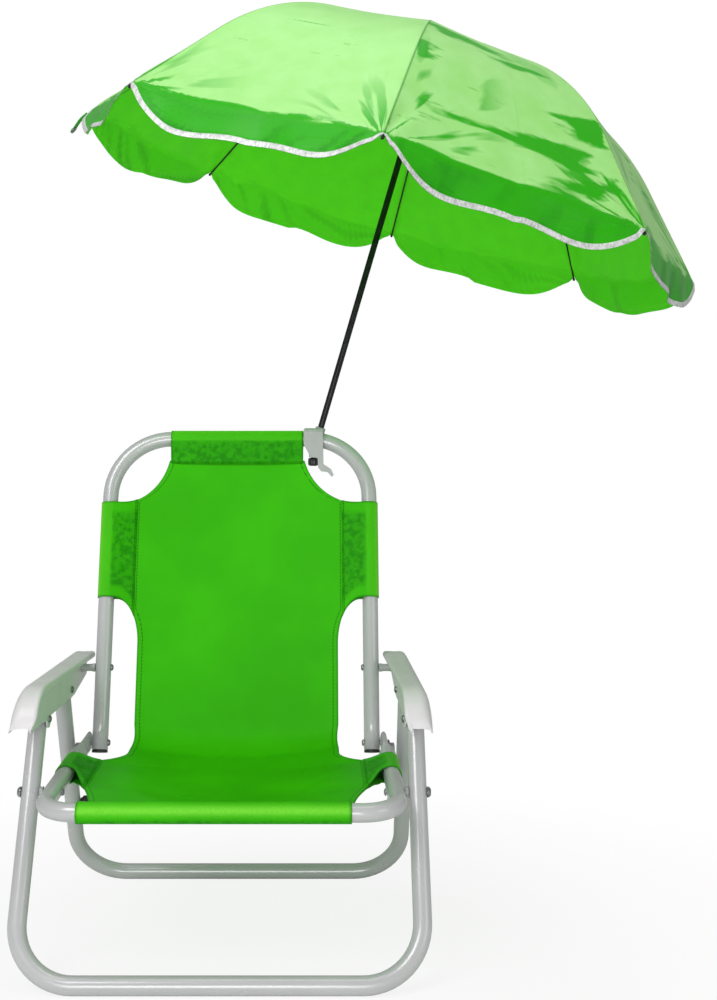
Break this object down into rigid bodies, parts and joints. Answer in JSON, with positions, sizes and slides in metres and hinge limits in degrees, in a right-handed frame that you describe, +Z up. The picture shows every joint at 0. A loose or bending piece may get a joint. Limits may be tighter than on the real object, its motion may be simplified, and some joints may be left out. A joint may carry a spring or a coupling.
{
  "type": "folding chair with umbrella",
  "caption": "Child's folding armchair of bent tube with a cloth sling, plastic armrests and a small tilting umbrella clamped to the top of its back.",
  "frame": {"origin": "the middle of the flat underside of the front floor bar", "axes": "+Z up; the sitter faces -Y; +X is the right-hand side seen from the front"},
  "size_m": [0.7954, 0.8021, 1.0842],
  "materials": {
    "painted_tube": "white gloss paint",
    "white_plastic": "moulded, satin",
    "grey_plastic": "moulded, satin",
    "black_plastic": "moulded, satin",
    "black_rubber": "matt",
    "black_steel": "black paint",
    "green_sling": "woven polyester, matt",
    "green_canopy": "thin coated polyester with a silky sheen",
    "steel": "zinc plated"
  },
  "bodies": {
    "seat": {"seat_frame": "painted_tube", "sling_seat": "green_sling", "seat_bolt_l": "steel", "seat_bolt_r": "steel", "seat_spacer_l": "grey_plastic", "seat_spacer_r": "grey_plastic", "seat_rivet_l": "steel", "seat_rivet_r": "steel", "link_tab_l": "steel", "link_tab_r": "steel"},
    "front_leg": {"front_leg": "painted_tube"},
    "armrest_left": {"armrest_l": "white_plastic", "front_arm_bolt_l": "steel", "rear_arm_bolt_l": "steel"},
    "armrest_right": {"armrest_r": "white_plastic", "front_arm_bolt_r": "steel", "rear_arm_bolt_r": "steel"},
    "back": {"back_frame": "painted_tube", "sling_back": "green_sling", "clamp_body": "grey_plastic", "back_plug_l": "black_plastic", "back_plug_r": "black_plastic", "back_arm_bolt_l": "steel", "back_arm_bolt_r": "steel", "back_spacer_l": "grey_plastic", "back_spacer_r": "grey_plastic"},
    "rear_leg": {"rear_leg": "painted_tube", "leg_bumper_l": "black_rubber", "leg_bumper_r": "black_rubber", "link_leg_boss_l": "steel", "link_leg_boss_r": "steel"},
    "link_left": {"link_strap_l": "steel"},
    "link_right": {"link_strap_r": "steel"},
    "clamp_screw": {"clamp_screw": "black_plastic"},
    "clamp_pad": {"clamp_pad": "black_rubber"},
    "mast": {"mast_socket": "grey_plastic", "mast": "black_steel", "crown": "black_plastic", "top_cap": "black_plastic", "canopy": "green_canopy"},
    "runner": {"runner": "black_plastic"},
    "rib_1": {"rib_1": "black_steel"},
    "stretcher_1": {"stretcher_1": "black_steel"},
    "rib_2": {"rib_2": "black_steel"},
    "stretcher_2": {"stretcher_2": "black_steel"},
    "rib_3": {"rib_3": "black_steel", "closure_strap": "green_canopy"},
    "stretcher_3": {"stretcher_3": "black_steel"},
    "rib_4": {"rib_4": "black_steel"},
    "stretcher_4": {"stretcher_4": "black_steel"},
    "rib_5": {"rib_5": "black_steel"},
    "stretcher_5": {"stretcher_5": "black_steel"},
    "rib_6": {"rib_6": "black_steel"},
    "stretcher_6": {"stretcher_6": "black_steel"},
    "rib_7": {"rib_7": "black_steel"},
    "stretcher_7": {"stretcher_7": "black_steel"},
    "rib_8": {"rib_8": "black_steel"},
    "stretcher_8": {"stretcher_8": "black_steel"}
  },
  "joints": [
    {"name": "front_leg_fold", "type": "hinge", "parent": "seat", "child": "front_leg", "pos_m": [0, 0.08949, 0.1765], "axis": [1, 0, 0], "range_deg": [0, 105.14]},
    {"name": "back_fold", "type": "hinge", "parent": "seat", "child": "back", "pos_m": [0, 0.29202, 0.18717], "axis": [1, 0, 0], "range_deg": [0, 93.73]},
    {"name": "armrest_left_fold", "type": "hinge", "parent": "front_leg", "child": "armrest_left", "pos_m": [-0.202, 0.12671, 0.24608], "axis": [1, 0, 0], "range_deg": [-110.15, 0]},
    {"name": "armrest_right_fold", "type": "hinge", "parent": "front_leg", "child": "armrest_right", "pos_m": [0.202, 0.12671, 0.24608], "axis": [1, 0, 0], "range_deg": [-110.15, 0]},
    {"name": "rear_leg_fold", "type": "hinge", "parent": "armrest_left", "child": "rear_leg", "pos_m": [0, 0.25502, 0.25688], "axis": [1, 0, 0], "range_deg": [0, 67.35]},
    {"name": "link_left_fold", "type": "hinge", "parent": "seat", "child": "link_left", "pos_m": [-0.1889, 0.26683, 0.1558], "axis": [1, 0, 0], "range_deg": [0, 112.99]},
    {"name": "link_right_fold", "type": "hinge", "parent": "seat", "child": "link_right", "pos_m": [0.1889, 0.26683, 0.1558], "axis": [1, 0, 0], "range_deg": [0, 112.99]},
    {"name": "clamp_pad_slide", "type": "slide", "parent": "back", "child": "clamp_pad", "axis": [0, 0, 1], "range_m": [-0.001, 0]},
    {"name": "clamp_screw_turn", "type": "hinge", "parent": "back", "child": "clamp_screw", "pos_m": [0.0927, 0.39408, 0.55409], "axis": [0, 0, 1], "range_deg": [0, 360.6]},
    {"name": "mast_tilt", "type": "hinge", "parent": "back", "child": "mast", "pos_m": [0.09919, 0.41647, 0.55963], "axis": [0, 1, 0], "range_deg": [-45, 25]},
    {"name": "runner_slide", "type": "slide", "parent": "mast", "child": "runner", "axis": [0.2814, -0.0895, 0.9554], "range_m": [-0.2326, 0], "deforming": ["canopy"]},
    {"name": "rib_1_fold", "type": "hinge", "parent": "mast", "child": "rib_1", "pos_m": [0.24613, 0.36261, 1.05976], "axis": [0.957, -0.0469, -0.2862], "range_deg": [0, 57.02]},
    {"name": "stretcher_1_fold", "type": "hinge", "parent": "runner", "child": "stretcher_1", "pos_m": [0.21595, 0.371, 0.94907], "axis": [0.957, -0.0469, -0.2862], "range_deg": [-45.36, 0]},
    {"name": "rib_2_fold", "type": "hinge", "parent": "mast", "child": "rib_2", "pos_m": [0.24154, 0.36488, 1.06133], "axis": [0.6269, -0.7367, -0.2536], "range_deg": [0, 57.02]},
    {"name": "stretcher_2_fold", "type": "hinge", "parent": "runner", "child": "stretcher_2", "pos_m": [0.20938, 0.3722, 0.95112], "axis": [0.6269, -0.7367, -0.2536], "range_deg": [-45.36, 0]},
    {"name": "rib_3_fold", "type": "hinge", "parent": "mast", "child": "rib_3", "pos_m": [0.23993, 0.3699, 1.06227], "axis": [-0.0704, -0.9949, -0.0725], "range_deg": [0, 57.02]},
    {"name": "stretcher_3_fold", "type": "hinge", "parent": "runner", "child": "stretcher_3", "pos_m": [0.20568, 0.37789, 0.95274], "axis": [-0.0704, -0.9949, -0.0725], "range_deg": [-45.36, 0]},
    {"name": "rib_4_fold", "type": "hinge", "parent": "mast", "child": "rib_4", "pos_m": [0.24224, 0.37473, 1.06204], "axis": [-0.7265, -0.6703, 0.1512], "range_deg": [0, 57.02]},
    {"name": "stretcher_4_fold", "type": "hinge", "parent": "runner", "child": "stretcher_4", "pos_m": [0.20701, 0.38474, 0.95299], "axis": [-0.7265, -0.6703, 0.1512], "range_deg": [-45.36, 0]},
    {"name": "rib_5_fold", "type": "hinge", "parent": "mast", "child": "rib_5", "pos_m": [0.24712, 0.37654, 1.06078], "axis": [-0.957, 0.0469, 0.2862], "range_deg": [0, 57.02]},
    {"name": "stretcher_5_fold", "type": "hinge", "parent": "runner", "child": "stretcher_5", "pos_m": [0.21259, 0.38873, 0.95172], "axis": [-0.957, 0.0469, 0.2862], "range_deg": [-45.36, 0]},
    {"name": "rib_6_fold", "type": "hinge", "parent": "mast", "child": "rib_6", "pos_m": [0.25171, 0.37426, 1.05921], "axis": [-0.6269, 0.7367, 0.2536], "range_deg": [0, 57.02]},
    {"name": "stretcher_6_fold", "type": "hinge", "parent": "runner", "child": "stretcher_6", "pos_m": [0.21916, 0.38753, 0.94967], "axis": [-0.6269, 0.7367, 0.2536], "range_deg": [-45.36, 0]},
    {"name": "rib_7_fold", "type": "hinge", "parent": "mast", "child": "rib_7", "pos_m": [0.25333, 0.36924, 1.05826], "axis": [0.0704, 0.9949, 0.0725], "range_deg": [0, 57.02]},
    {"name": "stretcher_7_fold", "type": "hinge", "parent": "runner", "child": "stretcher_7", "pos_m": [0.22286, 0.38184, 0.94805], "axis": [0.0704, 0.9949, 0.0725], "range_deg": [-45.36, 0]},
    {"name": "rib_8_fold", "type": "hinge", "parent": "mast", "child": "rib_8", "pos_m": [0.25101, 0.36441, 1.05849], "axis": [0.7265, 0.6703, -0.1512], "range_deg": [0, 57.02]},
    {"name": "stretcher_8_fold", "type": "hinge", "parent": "runner", "child": "stretcher_8", "pos_m": [0.22153, 0.37499, 0.9478], "axis": [0.7265, 0.6703, -0.1512], "range_deg": [-45.36, 0]}
  ],
  "couplings": [
    {"joint": "back_fold", "follows": "front_leg_fold", "ratio": 0.89137},
    {"joint": "armrest_left_fold", "follows": "front_leg_fold", "ratio": -1.0476},
    {"joint": "armrest_right_fold", "follows": "front_leg_fold", "ratio": -1.0476},
    {"joint": "rear_leg_fold", "follows": "front_leg_fold", "ratio": 0.64053},
    {"joint": "link_left_fold", "follows": "front_leg_fold", "ratio": 1.0746},
    {"joint": "link_right_fold", "follows": "front_leg_fold", "ratio": 1.0746},
    {"joint": "clamp_screw_turn", "follows": "clamp_pad_slide", "rad_per_m": -6283.2},
    {"joint": "rib_1_fold", "follows": "runner_slide", "rad_per_m": -4.277},
    {"joint": "stretcher_1_fold", "follows": "runner_slide", "rad_per_m": 3.4024},
    {"joint": "rib_2_fold", "follows": "runner_slide", "rad_per_m": -4.277},
    {"joint": "stretcher_2_fold", "follows": "runner_slide", "rad_per_m": 3.4024},
    {"joint": "rib_3_fold", "follows": "runner_slide", "rad_per_m": -4.277},
    {"joint": "stretcher_3_fold", "follows": "runner_slide", "rad_per_m": 3.4024},
    {"joint": "rib_4_fold", "follows": "runner_slide", "rad_per_m": -4.277},
    {"joint": "stretcher_4_fold", "follows": "runner_slide", "rad_per_m": 3.4024},
    {"joint": "rib_5_fold", "follows": "runner_slide", "rad_per_m": -4.277},
    {"joint": "stretcher_5_fold", "follows": "runner_slide", "rad_per_m": 3.4024},
    {"joint": "rib_6_fold", "follows": "runner_slide", "rad_per_m": -4.277},
    {"joint": "stretcher_6_fold", "follows": "runner_slide", "rad_per_m": 3.4024},
    {"joint": "rib_7_fold", "follows": "runner_slide", "rad_per_m": -4.277},
    {"joint": "stretcher_7_fold", "follows": "runner_slide", "rad_per_m": 3.4024},
    {"joint": "rib_8_fold", "follows": "runner_slide", "rad_per_m": -4.277},
    {"joint": "stretcher_8_fold", "follows": "runner_slide", "rad_per_m": 3.4024}
  ]
}
